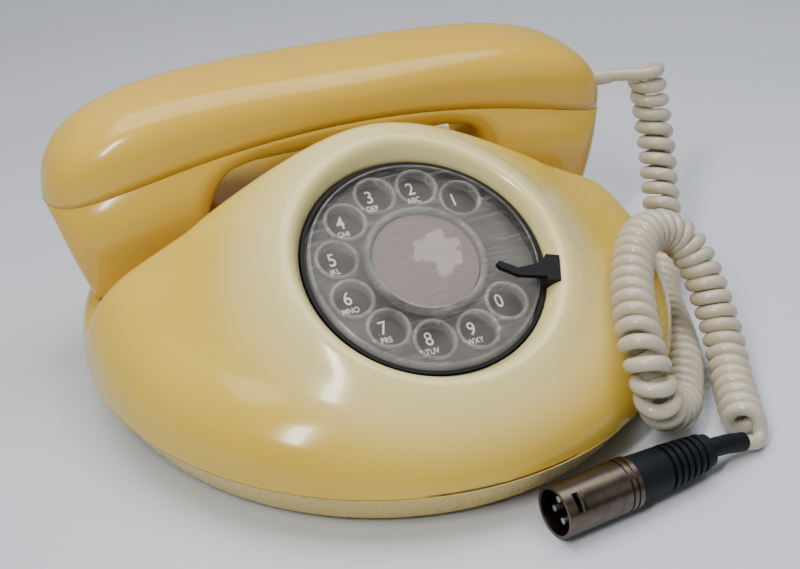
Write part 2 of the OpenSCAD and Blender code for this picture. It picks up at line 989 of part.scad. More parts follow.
// Perforated cap pressed into the opening of a cup
module voice_cap(side, holes) {
    translate([side * cap_x, hand_y, cup_z])
        difference() {
            rod(cap_r, 0, 2.6);
            rod(1.2, -1, 4);
            ring_of([for (i = [0 : holes - 1]) 360 * i / holes], 6)
                rod(1.2, -1, 4);
        }
}

module ear_cap() {
    color(golden)
        voice_cap(-1, 6);
}

module mouth_cap() {
    color(golden)
        voice_cap(1, 8);
}

module capsule(side, r, h) {
    translate([side * cap_x, hand_y, cup_z + 2.6]) {
        rod(r, 0, h);
        rod(r * 0.55, h, h + 4);
    }
}

module receiver_capsule() {
    color("gray")
        capsule(-1, 13.4, 10);
}

module transmitter_capsule() {
    color("gray")
        capsule(1, 13, 8);
}

module handset_screws() {
    color("silver")
        for (s = [-1, 1])
            translate([s * hand_screw_x, hand_y, 0]) {
                rod(1.4, grip_z + 2, hand_top - 7);
                rod(2.8, grip_z + 0.8, grip_z + 2);
            }
}

// Cord: sleeve at the handset's end, plain lead, coiled part, plain tail and plug
sleeve_z = 79;
sleeve_r = 3.1;
lead_r = 2.6;
coil_r = 8.2;
sleeve_end = hand_a + 9;
module cord_sleeve() {
    color(cord_white)
        translate([hand_a - 8, hand_y, sleeve_z])
            rotate([0, 90, 0])
                difference() {
                    cylinder(r = sleeve_r, h = sleeve_end - hand_a + 8);
                    translate([0, 0, -1])
                        cylinder(r = 1, h = 6);
                }
}

lead_route = [
    [125, 45, 79], [127, 45, 79], [130, 44.3, 79], [135, 42.5, 79], [140, 41.2, 78.8]
];
coil_route = [
    [143.2, 46.2, 79], [145.2, 44.6, 68.5], [146.2, 41, 57], [145, 33, 44], [142, 23, 30],
    [137, 10, 18], [128, -5, 10], [119, -19, 8.6], [113, -34, 8.6], [107, -50, 8.6],
    [100, -65, 8.6], [92, -78, 8.8], [84, -89, 10.2], [75, -97.5, 15.5], [67.5, -102.8, 21.8],
    [61.5, -106.5, 29.5], [59, -105, 38.5], [59, -97, 46], [63, -85, 51], [69, -72, 54.5],
    [77, -59, 57], [86, -48, 57.5], [96, -41, 55.5], [105, -38, 51.5], [112, -40, 46],
    [116, -46, 38], [117, -54, 29], [117, -63, 20], [115, -72, 13], [111, -82, 9],
    [105.5, -94.5, 8.6], [99.8, -106.8, 8.6]
];
tail_route = [
    [104.8, -109.1, 8.6], [104.6, -110.6, 5.6], [103, -112.8, 4.2], [99.6, -114, 4.5], [95.2, -113.3, 6]
];
sleeve_route = [
    [65.8, -117.55, 9.5], [77.7, -115.99, 9.5], [81.7, -115.4, 9.3], [87.5, -114.5, 8.2], [95.2, -113.3, 6]
];

// Smooth curve through the route's points, `n` pieces to a span
function along(p, n) =
    let (last = len(p) - 1)
    concat(
        [for (i = [0 : last - 1], j = [0 : n - 1])
            let (a = p[max(i - 1, 0)], b = p[i], c = p[i + 1], d = p[min(i + 2, last)], t = j / n)
            b + 0.5 * t * ((c - a) + t * ((2 * a - 5 * b + 4 * c - d) + t * (3 * b - a - 3 * c + d)))],
        [p[last]]
    );

// Frames carried along the curve without twist
function carried(p, i, side) =
    let (
        t = unit(p[min(i + 1, len(p) - 1)] - p[max(i - 1, 0)]),
        s = unit(side - (side * t) * t)
    )
    i == len(p) - 1 ? [[t, s]] : concat([[t, s]], carried(p, i + 1, s));
module swept(route, r, sides, pieces) {
    p = along(route, pieces);
    f = carried(p, 0, [0, 1, 0]);
    skin([
        for (i = [0 : len(p) - 1])
        let (s = f[i][1], u = cross(f[i][0], s))
        [for (j = [0 : sides - 1])
            let (a = 360 * j / sides) p[i] + r * (cos(a) * s + sin(a) * u)]
    ]);
}

module cord_lead() {
    color(cord_white)
        swept(lead_route, lead_r, 8, 1);
}

module cord_coil() {
    color(cord_white)
        swept(coil_route, coil_r, 12, 2);
}

module cord_tail() {
    color(cord_white)
        swept(tail_route, lead_r, 8, 2);
}

// Plug frame of reference: +Z runs from its open front back towards the cord
plug_angle = 7.5;
plug_front = [12.3, -124.6, 9.5];
pin_angles = [155, 65, -25];
latch_angle = 222;
module at_plug() {
    translate(plug_front)
        rotate([0, 0, plug_angle])
            rotate([0, 90, 0])
                children();
}

module plug_shell() {
    color("silver")
        at_plug()
            difference() {
                union() {
                    rod(plug_r, 0, shell_l);
                    rotate([0, 0, latch_angle])
                        intersection() {
                            translate([plug_r - 1, -3.5, 7])
                                cube([1.5, 7, 7]);
                            rod(plug_r + 0.4, 7, 14);
                        }
                }
                rod(8.2, -1, 14);
                rod(7.4, 13, shell_l + 1);
                rotate([0, 0, latch_angle])
                    translate([6, -3.5, 3.6])
                        cube([5, 7, 2.6]);
                for (g = [5, 2.6])
                    translate([0, 0, shell_l - g])
                        difference() {
                            cylinder(r = plug_r + 1, h = 0.8);
                            translate([0, 0, -1])
                                cylinder(r = plug_r - 0.45, h = 3);
                        }
            }
}

module plug_insert() {
    color("black")
        at_plug()
            difference() {
                union() {
                    rod(8.1, 12, 13.9);
                    rod(7.3, 13.9, 24);
                }
                ring_of(pin_angles, 3.9)
                    rod(1.15, 11, 25);
            }
}

module plug_pins() {
    color("silver")
        at_plug()
            ring_of(pin_angles, 3.9)
                rod(1.15, 2.5, 26);
}

module plug_boot() {
    color("black")
        at_plug()
            difference() {
                union() {
                    translate([0, 0, shell_l])
                        cylinder(r1 = 8.9, r2 = 8.2, h = 14);
                    translate([0, 0, shell_l + 14])
                        cylinder(r1 = 7, r2 = 6, h = boot_l - 14);
                    for (i = [0 : 5])
                        translate([0, 0, shell_l + 15.4 + 3 * i])
                            cylinder(r = 8.2 - 0.25 * i, h = 1.7);
                    rod(7.3, shell_l - 4, shell_l);
                }
                rod(3.6, shell_l - 5, shell_l + boot_l + 1);
            }
}

module plug_sleeve() {
    color("black")
        swept(sleeve_route, 3.55, 16, 1);
}

base_shell();
rubber_feet();
upper_housing();
housing_screws();
line_cord_grommet();
dial_bezel();
number_plate();
dial_frame();
dial_back_plate();
dial_screws();
finger_stop();
finger_wheel();
number_card();
center_cap();
center_screw();
dial_shaft();
main_gear();
dial_spring();
pulse_shaft();
pulse_pinion();
speed_gear();
pulse_cam();
governor_shaft();
governor_pinion();
governor_arms();
governor_cup();
pulse_contacts();
hook_plunger();
hook_bracket();
hook_pin();
hook_lever();
hook_contacts();
ringer_frame();
ringer_coils();
ringer_pin();
clapper();
gong_left();
gong_right();
gong_screws();
volume_wheel();
volume_pin();
network_block();
terminal_block();
terminal_screws();
handset_upper();
handset_lower();
ear_cap();
mouth_cap();
receiver_capsule();
transmitter_capsule();
handset_screws();
cord_sleeve();
cord_lead();
cord_coil();
cord_tail();
plug_sleeve();
plug_boot();
plug_shell();
plug_insert();
plug_pins();
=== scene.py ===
import json
import math

import bpy
import numpy as np
from mathutils import Matrix, Vector


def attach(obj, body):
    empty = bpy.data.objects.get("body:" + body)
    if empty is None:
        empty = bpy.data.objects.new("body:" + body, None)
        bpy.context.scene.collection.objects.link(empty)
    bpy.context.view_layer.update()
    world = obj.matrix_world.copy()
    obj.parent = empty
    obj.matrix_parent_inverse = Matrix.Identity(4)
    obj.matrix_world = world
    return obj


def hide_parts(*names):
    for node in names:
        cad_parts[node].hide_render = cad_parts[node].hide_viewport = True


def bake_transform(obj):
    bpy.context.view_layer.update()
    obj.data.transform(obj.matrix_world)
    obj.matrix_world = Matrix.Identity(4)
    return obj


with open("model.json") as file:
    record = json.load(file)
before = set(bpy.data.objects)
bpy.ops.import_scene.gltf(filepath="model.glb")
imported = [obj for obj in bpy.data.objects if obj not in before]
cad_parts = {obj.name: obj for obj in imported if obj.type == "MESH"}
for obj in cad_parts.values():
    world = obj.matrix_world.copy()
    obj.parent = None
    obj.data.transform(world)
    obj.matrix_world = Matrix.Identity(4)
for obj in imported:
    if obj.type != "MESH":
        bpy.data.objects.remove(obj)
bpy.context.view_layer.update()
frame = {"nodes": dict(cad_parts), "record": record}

# --- Camera: a portrait lens half a metre in front, to the left and well above the dial.
MM = 0.001
camera = bpy.data.objects.new("camera", bpy.data.cameras.new("camera"))
bpy.context.scene.collection.objects.link(camera)
camera.location = (-0.1875, -0.4592, 0.3400)
CAMERA_TURN, CAMERA_DIP = math.radians(-23.2), math.radians(31.9)
look = Vector((
    -math.sin(CAMERA_TURN) * math.cos(CAMERA_DIP),
    math.cos(CAMERA_TURN) * math.cos(CAMERA_DIP),
    -math.sin(CAMERA_DIP),
))
camera.rotation_euler = look.to_track_quat("-Z", "Y").to_euler()
camera.data.lens = 67.5
camera.data.sensor_width = 36
camera.data.clip_start = 0.01
bpy.context.scene.camera = camera


# --- Handset cord: an off-white PVC jacket, wound into a tight spring between two plain ends.
# It hangs from the sleeve at the handset's end, runs along the table, climbs the side in a loop
# and ends in the connector's sleeve. The route repeats the CAD's own.
def group(name, inputs, outputs):
    """A new node group with its interface; returns it with its input and output nodes."""
    g = bpy.data.node_groups.new(name, "ShaderNodeTree")
    for label, kind, value in inputs:
        s = g.interface.new_socket(label, in_out="INPUT", socket_type=kind)
        s.default_value = value
    for label, kind in outputs:
        g.interface.new_socket(label, in_out="OUTPUT", socket_type=kind)
    return g, g.nodes.new("NodeGroupInput"), g.nodes.new("NodeGroupOutput")


def linked(tree, kind, settings=None, **inputs):
    """A node with its values set, or linked where the value is a socket."""
    n = tree.nodes.new(kind)
    for key, value in (settings or {}).items():
        setattr(n, key, value)
    for key, value in inputs.items():
        by_number = key[0] == "i" and key[1:].isdigit()
        socket = n.inputs[int(key[1:]) if by_number else key.replace("_", " ")]
        if isinstance(value, bpy.types.NodeSocket):
            tree.links.new(value, socket)
        else:
            socket.default_value = value
    return n


def own_place(tree):
    """The socket with the object's own coordinates."""
    return tree.nodes.new("ShaderNodeTexCoord").outputs["Object"]


def aged_plastic_group():
    """Colour that drifts between two tones in soft patches, with fine handling marks in the gloss."""
    g, gi, go = group(
        "aged_plastic",
        [("Colour", "NodeSocketColor", (0.8, 0.7, 0.4, 1)), ("Deep", "NodeSocketColor", (0.7, 0.5, 0.2, 1)),
         ("Patch Size", "NodeSocketFloat", 14.0), ("Gloss", "NodeSocketFloat", 0.25),
         ("Dust", "NodeSocketFloat", 0.2)],
        [("Colour", "NodeSocketColor"), ("Roughness", "NodeSocketFloat"), ("Height", "NodeSocketFloat")],
    )
    at = own_place(g)
    patches = linked(g, "ShaderNodeTexNoise", Vector=at, Scale=gi.outputs["Patch Size"], Detail=3.0,
                     Roughness=0.55)
    patchy = linked(g, "ShaderNodeMapRange", Value=patches.outputs["Fac"], From_Min=0.35, From_Max=0.68)
    mix = linked(g, "ShaderNodeMix", {"data_type": "RGBA"}, i0=patchy.outputs["Result"],
                 i6=gi.outputs["Colour"], i7=gi.outputs["Deep"])
    speck = linked(g, "ShaderNodeTexNoise", Vector=at, Scale=900.0, Detail=2.0)
    dust = linked(g, "ShaderNodeMapRange", Value=speck.outputs["Fac"], From_Min=0.66, From_Max=0.74,
                  To_Min=0.0, To_Max=gi.outputs["Dust"])
    dusty = linked(g, "ShaderNodeMix", {"data_type": "RGBA"}, i0=dust.outputs["Result"],
                   i6=mix.outputs[2], i7=(0.40, 0.26, 0.10, 1))
    scuffs = linked(g, "ShaderNodeTexNoise", Vector=at, Scale=55.0, Detail=6.0, Roughness=0.7)
    rough = linked(g, "ShaderNodeMath", {"operation": "MULTIPLY_ADD"}, i0=scuffs.outputs["Fac"],
                   i1=0.22, i2=gi.outputs["Gloss"])
    g.links.new(dusty.outputs[2], go.inputs["Colour"])
    g.links.new(rough.outputs[0], go.inputs["Roughness"])
    g.links.new(scuffs.outputs["Fac"], go.inputs["Height"])
    return g


AGED = aged_plastic_group()


def material(name):
    """A new material with its node tree and its shader."""
    m = bpy.data.materials.new(name)
    m.use_nodes = True
    return m, m.node_tree, m.node_tree.nodes["Principled BSDF"]


def aged(name, colour, deep, gloss=0.2, patch=14.0, coat=0.25, bump=0.02, dust=0.2, specular=0.5):
    """A plastic that drifts from its colour to a deeper one, under a thin clear gloss."""
    m, t, s = material(name)
    a = linked(t, "ShaderNodeGroup", {"node_tree": AGED})
    a.inputs["Colour"].default_value = (*colour, 1)
    a.inputs["Deep"].default_value = (*deep, 1)
    a.inputs["Patch Size"].default_value = patch
    a.inputs["Gloss"].default_value = gloss
    a.inputs["Dust"].default_value = dust
    b = linked(t, "ShaderNodeBump", Height=a.outputs["Height"], Strength=bump, Distance=0.0005)
    t.links.new(a.outputs["Colour"], s.inputs["Base Color"])
    t.links.new(a.outputs["Roughness"], s.inputs["Roughness"])
    t.links.new(b.outputs["Normal"], s.inputs["Normal"])
    s.inputs["Specular IOR Level"].default_value = specular
    s.inputs["Coat Weight"].default_value = coat
    s.inputs["Coat Roughness"].default_value = 0.07
    return m


def tinted(tree, shader, share, colour):
    """Mixes a second colour over the one that the shader has, by a mask's socket."""
    mix = linked(tree, "ShaderNodeMix", {"data_type": "RGBA"}, i0=share,
                 i6=shader.inputs["Base Color"].links[0].from_socket, i7=(*colour, 1))
    tree.links.new(mix.outputs[2], shader.inputs["Base Color"])


def mesh_object(name, points, faces, mat, smooth=True):
    """An object in the scene from points in metres."""
    mesh = bpy.data.meshes.new(name)
    mesh.from_pydata([tuple(p) for p in points], [], [tuple(f) for f in faces])
    mesh.update()
    if smooth:
        mesh.shade_smooth()
    mesh.materials.append(mat)
    o = bpy.data.objects.new(name, mesh)
    bpy.context.scene.collection.objects.link(o)
    return o


LEAD = [(125, 45, 79), (127, 45, 79), (130, 44.3, 79), (135, 42.5, 79), (140, 41.2, 78.8)]
COIL = [(143.2, 46.2, 79), (145.2, 44.6, 68.5), (146.2, 41, 57), (145, 33, 44), (142, 23, 30),
        (137, 10, 18), (128, -5, 10), (119, -19, 8.6), (113, -34, 8.6), (107, -50, 8.6),
        (100, -65, 8.6), (92, -78, 8.8), (84, -89, 10.2), (75, -97.5, 15.5), (67.5, -102.8, 21.8),
        (61.5, -106.5, 29.5), (59, -105, 38.5), (59, -97, 46), (63, -85, 51), (69, -72, 54.5),
        (77, -59, 57), (86, -48, 57.5), (96, -41, 55.5), (105, -38, 51.5), (112, -40, 46),
        (116, -46, 38), (117, -54, 29), (117, -63, 20), (115, -72, 13), (111, -82, 9),
        (105.5, -94.5, 8.6), (99.8, -106.8, 8.6)]
TAIL = [(104.8, -109.1, 8.6), (104.6, -110.6, 5.6), (103, -112.8, 4.2), (99.6, -114, 4.5), (95.2, -113.3, 6)]
WIRE_R = 2.75
HELIX_R = 6.15


def spline(points, pieces):
    """Catmull-Rom curve through the points."""
    p = np.array(points, float)
    out = []
    for i in range(len(p) - 1):
        a, b, c, d = p[max(i - 1, 0)], p[i], p[i + 1], p[min(i + 2, len(p) - 1)]
        for j in range(pieces):
            t = j / pieces
            bend, twist = 2 * a - 5 * b + 4 * c - d, 3 * b - a - 3 * c + d
            out.append(b + 0.5 * t * ((c - a) + t * (bend + t * twist)))
    out.append(p[-1])
    return np.array(out)


def even(points, step):
    """The same curve at equal steps along its length."""
    s = np.r_[0, np.cumsum(np.linalg.norm(np.diff(points, axis=0), axis=1))]
    n = max(int(round(s[-1] / step)), 2)
    t = np.linspace(0, s[-1], n + 1)
    return np.c_[[np.interp(t, s, points[:, k]) for k in range(3)]].T, t


def carried(points, side=(0.0, 1.0, 0.0)):
    """Tangents and sides carried along the curve without twist."""
    tangents = np.gradient(points, axis=0)
    tangents /= np.linalg.norm(tangents, axis=1)[:, None]
    sides = []
    s = np.array(side, float)
    for t in tangents:
        s = s - (s @ t) * t
        s /= np.linalg.norm(s)
        sides.append(s.copy())
    return tangents, np.array(sides)


def ring_quads(rings, sides):
    """Quads between rings of points that follow each other."""
    return [(i * sides + j, i * sides + (j + 1) % sides, (i + 1) * sides + (j + 1) % sides,
             (i + 1) * sides + j) for i in range(rings - 1) for j in range(sides)]


def tube(path, radius, sides=12):
    """Points and faces of a round tube along the path, closed at both ends."""
    t, s = carried(path, (0.2, 0.3, 0.93))
    u = np.cross(t, s)
    a = np.linspace(0, 2 * math.pi, sides, endpoint=False)
    around = np.cos(a)[None, :, None] * s[:, None, :] + np.sin(a)[None, :, None] * u[:, None, :]
    ring = path[:, None, :] + radius * around
    last = (len(path) - 1) * sides
    faces = ring_quads(len(path), sides)
    faces += [tuple(range(sides))[::-1], tuple(last + j for j in range(sides))]
    return ring.reshape(-1, 3), faces


def wound(lead, coil, tail):
    """The wire's own line: plain, then wound left-handed about the coil's axis, then plain again."""
    lead_line, _ = even(spline(lead, 8), 0.9)
    tail_line, _ = even(spline(tail, 8), 0.9)
    axis, s = even(spline(coil, 30), 0.36)
    t, n = carried(axis)
    b = np.cross(t, n)
    # Turns hang open under the handset, gape in the near side of the loop and sit tight elsewhere
    share = s / s[-1]
    pitch = np.interp(share, [0, 0.14, 0.22, 0.34, 0.42, 0.48, 0.56, 0.64, 0.8, 1.0],
                      [6.9, 6.7, 5.6, 5.3, 5.9, 7.0, 7.0, 5.6, 5.7, 6.1])
    turn = np.r_[0, np.cumsum(2 * math.pi / pitch[:-1] * np.diff(s))]
    first = math.radians(160)
    last = math.atan2(-b[-1] @ (tail_line[0] - axis[-1]), n[-1] @ (tail_line[0] - axis[-1]))
    whole = 2 * math.pi * round((turn[-1] + first - last) / (2 * math.pi)) + last - first
    turn = first + turn * whole / turn[-1]
    line = axis + HELIX_R * (np.cos(turn)[:, None] * n - np.sin(turn)[:, None] * b)
    line = np.vstack([lead_line[:-1], line, tail_line[1:]])
    line[:, 2] = np.maximum(line[:, 2], WIRE_R + 0.02)
    return line


def smoothed(line, rounds):
    for _ in range(rounds):
        line = np.vstack([line[:1], (line[:-2] + 2 * line[1:-1] + line[2:]) / 4, line[-1:]])
    return line


wire_line, _ = even(smoothed(wound(LEAD, COIL, TAIL), 3), 1.9)
cord_mat = aged("cord_jacket", (0.60, 0.55, 0.43), (0.52, 0.46, 0.33), gloss=0.2, patch=40.0, coat=0.2)
points, faces = tube(wire_line * MM, WIRE_R * MM, 10)
cord = mesh_object("handset_cord", points, faces, cord_mat)
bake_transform(cord)
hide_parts("cord_lead", "cord_coil", "cord_tail")

# --- Floor: a pale seamless sheet that curves up behind, cool white, with a painted fall-off of light that darkens it away from the phone.
floor_mat, tree, shader = material("floor_sheet")
grain = linked(tree, "ShaderNodeTexNoise", Vector=own_place(tree),
               Scale=6.0, Detail=2.0)
tone = linked(tree, "ShaderNodeMix", {"data_type": "RGBA"}, i0=grain.outputs["Fac"],
              i6=(0.62, 0.66, 0.73, 1), i7=(0.68, 0.71, 0.77, 1))
# Painted light: the sheet darkens with distance from a point just in front of the phone, as a pool of lamp
# light would
far = linked(tree, "ShaderNodeVectorMath", {"operation": "DISTANCE"},
             i0=own_place(tree), i1=(0.15, -0.25, 0.0))
painted_falloff = linked(tree, "ShaderNodeMapRange", Value=far.outputs["Value"], From_Min=0.3, From_Max=0.85,
              To_Min=0.0, To_Max=0.9)
shaded = linked(tree, "ShaderNodeMix", {"data_type": "RGBA"}, i0=painted_falloff.outputs[0], i6=tone.outputs[2],
                i7=(0.25, 0.26, 0.28, 1))
tree.links.new(shaded.outputs[2], shader.inputs["Base Color"])
shader.inputs["Roughness"].default_value = 0.42
shader.inputs["Specular IOR Level"].default_value = 0.35
BEND_Y, BEND_R, HALF_WIDTH = 0.55, 0.45, 3.0
sheet = [(-2.2, 0.0)]
sheet += [(BEND_Y + BEND_R * math.sin(a), BEND_R - BEND_R * math.cos(a))
          for a in np.linspace(0, math.pi / 2, 14)]
sheet += [(BEND_Y + BEND_R, 2.4)]
floor = mesh_object(
    "floor",
    [(x, y, z) for y, z in sheet for x in (-HALF_WIDTH, HALF_WIDTH)],
    [(2 * i, 2 * i + 1, 2 * i + 3, 2 * i + 2) for i in range(len(sheet) - 1)],
    floor_mat,
)


# --- Lights: one soft window at the left, a broad pale ceiling, and a weak fill from the right.
def area_light(name, place, aim, size, power, colour):
    lamp = bpy.data.lights.new(name, "AREA")
    lamp.shape = "RECTANGLE"
    lamp.size, lamp.size_y = size
    lamp.energy = power
    lamp.color = colour
    o = bpy.data.objects.new(name, lamp)
    o.location = place
    o.rotation_euler = (Vector(aim) - Vector(place)).to_track_quat("-Z", "Y").to_euler()
    bpy.context.scene.collection.objects.link(o)


area_light("window", (-0.62, -0.55, 0.95), (0, 0, 0.05), (0.11, 0.46), 9.0, (1.0, 0.98, 0.94))
area_light("ceiling", (0.1, 0.25, 1.5), (0, 0, 0), (1.6, 1.2), 27.0, (0.98, 0.98, 1.0))
area_light("fill", (0.9, -0.9, 0.7), (0, 0, 0.05), (0.7, 0.7), 0.8, (1.0, 0.97, 0.93))
world = bpy.data.worlds.new("room")
world.use_nodes = True
world.node_tree.nodes["Background"].inputs["Color"].default_value = (0.82, 0.84, 0.90, 1)
world.node_tree.nodes["Background"].inputs["Strength"].default_value = 0.13
bpy.context.scene.world = world

# --- Upper housing: glossy moulded plastic, once ivory, now yellowed. A round ring-shaped body whose
# front dome flares up into a lip round the dial, falls steeply to two handset pockets and is pierced
# by a well. The surface is solved from the same shape as the CAD's, with its edges rounded over.
BODY_R, SEAM_Z = 114.0, 18.0
DIAL = np.array([0.0, -44.0, 65.2])
TILT = math.radians(28)
WELL_R, WELL_Y = 26.0, 46.0
CREST_Y, POCKET_Z = 12.0, 32.0
SADDLE_W, SADDLE_Z, REAR_Y, REAR_Z = 53.0, 58.0, 73.0, 50.0
LIP_R, PLUNGER_X, PLUNGER_Y, PLUNGER_HOLE_R = 45.0, -82.0, 45.0, 4.4


def smax(a, b, k):
    h = np.maximum(k - np.abs(a - b), 0) / k
    return np.maximum(a, b) + h * h * k / 4


def smin(a, b, k):
    return -smax(-a, -b, k)


def dial_coords(p):
    """Distance from the dial's axis, and height along it."""
    q = p - DIAL
    yd = q[..., 1] * math.cos(TILT) + q[..., 2] * math.sin(TILT)
    return np.hypot(q[..., 0], yd), q[..., 2] * math.cos(TILT) - q[..., 1] * math.sin(TILT)


def housing_field(p):
    """Distance in mm from the housing's outer skin, below zero inside it."""
    x, y, z = p[..., 0], p[..., 1], p[..., 2]
    side = np.hypot(x, y) - (BODY_R - 2.5 * ((z - SEAM_Z) / 30) ** 2)
    k = np.maximum(0.495 + 0.0033 * y, 0.15)
    roof = DIAL[2] + 1.7 + (y - DIAL[1]) * math.tan(TILT) - np.sqrt((k * x) ** 2 + 144) + 12
    dome = smax(side, (z - roof) * math.cos(TILT), 16)
    r, h = dial_coords(p)
    ridge = np.maximum(smax((r - 57.5) * 0.765 + (h - 0.5) * 0.644, h - 6.0, 6), -14 - h)
    dome = smin(dome, ridge, 14)
    saddle = smax(np.maximum(np.abs(x) - SADDLE_W, y - REAR_Y - 6), z - SADDLE_Z, 4)
    rear = smax(REAR_Y - y, z - REAR_Z, 4)
    low = smin(smin(y - CREST_Y, z - POCKET_Z, 8), smin(saddle, rear, 6), 8)
    skin = smax(dome, low, 8)
    skin = smax(skin, WELL_R - np.hypot(x, y - WELL_Y), 8)
    plunger = PLUNGER_HOLE_R - np.hypot(x - PLUNGER_X, y - PLUNGER_Y)
    skin = np.maximum(skin, np.minimum(plunger, z - 24))
    mouth = np.minimum((LIP_R + 0.55 * np.maximum(h + 0.5, 0)) - r, h + 12)
    return smax(skin, mouth, 3.5)


def net(field, low, high, step):
    """Naive surface net of the field's zero surface, with its points drawn onto the surface."""
    axes = [np.arange(a, b + step / 2, step) for a, b in zip(low, high)]
    grid = np.stack(np.meshgrid(*axes, indexing="ij"), -1)
    v = field(grid)
    inside = v < 0
    corners = [(i, j, k) for i in (0, 1) for j in (0, 1) for k in (0, 1)]
    n = [s - 1 for s in v.shape]

    def part(a, c):
        return a[c[0]:c[0] + n[0], c[1]:c[1] + n[1], c[2]:c[2] + n[2]]

    count = sum(part(inside, c).astype(np.int8) for c in corners)
    cells = np.argwhere((count > 0) & (count < 8))
    index = -np.ones(n, int)
    index[tuple(cells.T)] = np.arange(len(cells))
    total = np.zeros((len(cells), 3))
    hits = np.zeros(len(cells))
    for a in corners:
        for k in range(3):
            if a[k]:
                continue
            b = tuple(a[m] + (m == k) for m in range(3))
            ia, ib = cells + a, cells + b
            va, vb = v[tuple(ia.T)], v[tuple(ib.T)]
            cross = (va < 0) != (vb < 0)
            t = np.where(cross, va / np.where(cross, va - vb, 1), 0)
            p = ia + t[:, None] * (np.array(b) - np.array(a))
            total[cross] += p[cross]
            hits[cross] += 1
    points = np.array(low) + step * total / hits[:, None]
    for _ in range(4):
        f = field(points)
        grad = np.stack([(field(points + e) - field(points - e)) / 0.1 for e in np.eye(3) * 0.05], -1)
        steepness = np.maximum((grad ** 2).sum(-1), 0.05)[:, None]
        points = points - np.clip(f, -step, step)[:, None] * grad / steepness
    quads = []
    for k in range(3):
        u, w = (k + 1) % 3, (k + 2) % 3
        start = [slice(None)] * 3
        stop = [slice(None)] * 3
        start[k], stop[k] = slice(0, -1), slice(1, None)
        change = inside[tuple(start)] != inside[tuple(stop)]
        e = np.argwhere(change)
        e = e[(e[:, u] > 0) & (e[:, w] > 0) & (e[:, u] < v.shape[u] - 1) & (e[:, w] < v.shape[w] - 1)]
        first = inside[tuple(e.T)]
        du, dw = np.eye(3, dtype=int)[u], np.eye(3, dtype=int)[w]
        ring = np.stack([index[tuple((e - off).T)] for off in (0 * du, du, du + dw, dw)], -1)
        ring[~first] = ring[~first][:, ::-1]
        quads.append(ring)
    return points, np.vstack(quads)


HOUSING_STEP = 1.5
RIM_Z = SEAM_Z + 0.3
points, faces = net(housing_field, (-118, -118, RIM_Z - HOUSING_STEP / 2), (118, 118, 106), HOUSING_STEP)
r, h = dial_coords(points)
keep = ~((r < 47) & (h < -4.5) & (h > -14))
faces = faces[keep[faces].all(-1)]
used = np.unique(faces)
remap = -np.ones(len(points), int)
remap[used] = np.arange(len(used))
points, faces = points[used], remap[faces]
points[:, 2] = np.where(points[:, 2] < SEAM_Z + HOUSING_STEP * 0.75, RIM_Z, points[:, 2])
ivory = aged("housing_plastic", (0.74, 0.52, 0.075), (0.69, 0.455, 0.05), gloss=0.07, patch=9.0, coat=0.2,
             specular=0.35)
tree, shader = ivory.node_tree, ivory.node_tree.nodes["Principled BSDF"]
# The surround of the dial is painted paler than the sides: painted light, standing in for the light from
# above that falls on the upturned lip
near = linked(tree, "ShaderNodeVectorMath", {"operation": "DISTANCE"},
              i0=own_place(tree), i1=tuple(DIAL * MM))
painted_light_share = linked(tree, "ShaderNodeMapRange", {"interpolation_type": "SMOOTHSTEP"}, Value=near.outputs["Value"],
               From_Min=0.052, From_Max=0.082, To_Min=1.0, To_Max=0.0)
tinted(tree, shader, painted_light_share.outputs[0], (0.85, 0.73, 0.32))
housing = mesh_object("housing_skin", points * MM, faces, ivory)
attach(housing, "telephone")
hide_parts("upper_housing")


# --- Parting line of the body: a narrow groove where the housing meets the base, its shade painted in as a dark band.
def lathe(profile, sides=128):
    """Points and faces of a profile turned about the Z axis."""
    a = np.linspace(0, 2 * math.pi, sides, endpoint=False)
    pts = [(r * math.cos(t), r * math.sin(t), z) for r, z in profile for t in a]
    return np.array(pts), ring_quads(len(profile), sides)


# Painted shade for the parting lines: a near-black brown with a faint mottle, standing in for the shadow
# inside the gaps
seam_shade_mat, tree, shader = material("seam_painted_shade")
shade_mottle = linked(tree, "ShaderNodeTexNoise", Vector=own_place(tree), Scale=60.0)
tone = linked(tree, "ShaderNodeMix", {"data_type": "RGBA"}, i0=shade_mottle.outputs["Fac"],
              i6=(0.10, 0.055, 0.02, 1), i7=(0.17, 0.10, 0.04, 1))
tree.links.new(tone.outputs[2], shader.inputs["Base Color"])
shader.inputs["Roughness"].default_value = 0.7
points, faces = lathe([(BODY_R - 0.45, SEAM_Z - 0.4), (BODY_R - 0.45, SEAM_Z + 0.8)])
groove = mesh_object("body_parting_line", points * MM, faces, seam_shade_mat)
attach(groove, "telephone")

# --- Handset: two glossy shells that meet in a parting line. It has yellowed more than the body.
HAND_A, HAND_W, HAND_Y = 116.0, 24.5, 45.0
HAND_TOP, HAND_SEAM, HAND_DROP, GRIP_Z, CUP_Z = 110.5, 92.0, 20.0, 80.0, 32.0


def hand_section(x, side, n, inset=0.0):
    """Half a section of the handset, over its top (side 1) or under its bottom (side -1)."""
    u = abs(x)
    end_z = HAND_SEAM - HAND_DROP
    half = HAND_W * max(1 - (u / HAND_A) ** 9, 0) ** 0.45 - inset
    seam = HAND_SEAM - HAND_DROP * (u / HAND_A) ** 2
    boxy = min(max((u - 40) / 24, 0), 1)
    if side > 0:
        edge = end_z + (HAND_TOP - end_z) * max(1 - (u / HAND_A) ** 3.8, 0) ** 0.435
        power, taper = 2 / 3, 0.0
    else:
        toe = min(max((u - HAND_A + 13) / 13, 0), 1)
        edge = GRIP_Z - (GRIP_Z - CUP_Z) * boxy ** 4 + (end_z - CUP_Z) * toe ** 1.15
        power, taper = 2 / (3.4 + 4.6 * boxy), 0.002
    a = np.linspace(0, math.pi, n)
    c = np.cos(a)
    rise = (edge - seam) * np.sin(a) ** power
    y = np.sign(c) * max(half, 0.0) * np.abs(c) ** power * (1 - taper * np.abs(rise))
    gap = 0.16 * side
    return np.c_[np.full(n, x), HAND_Y - y, seam + gap + rise]


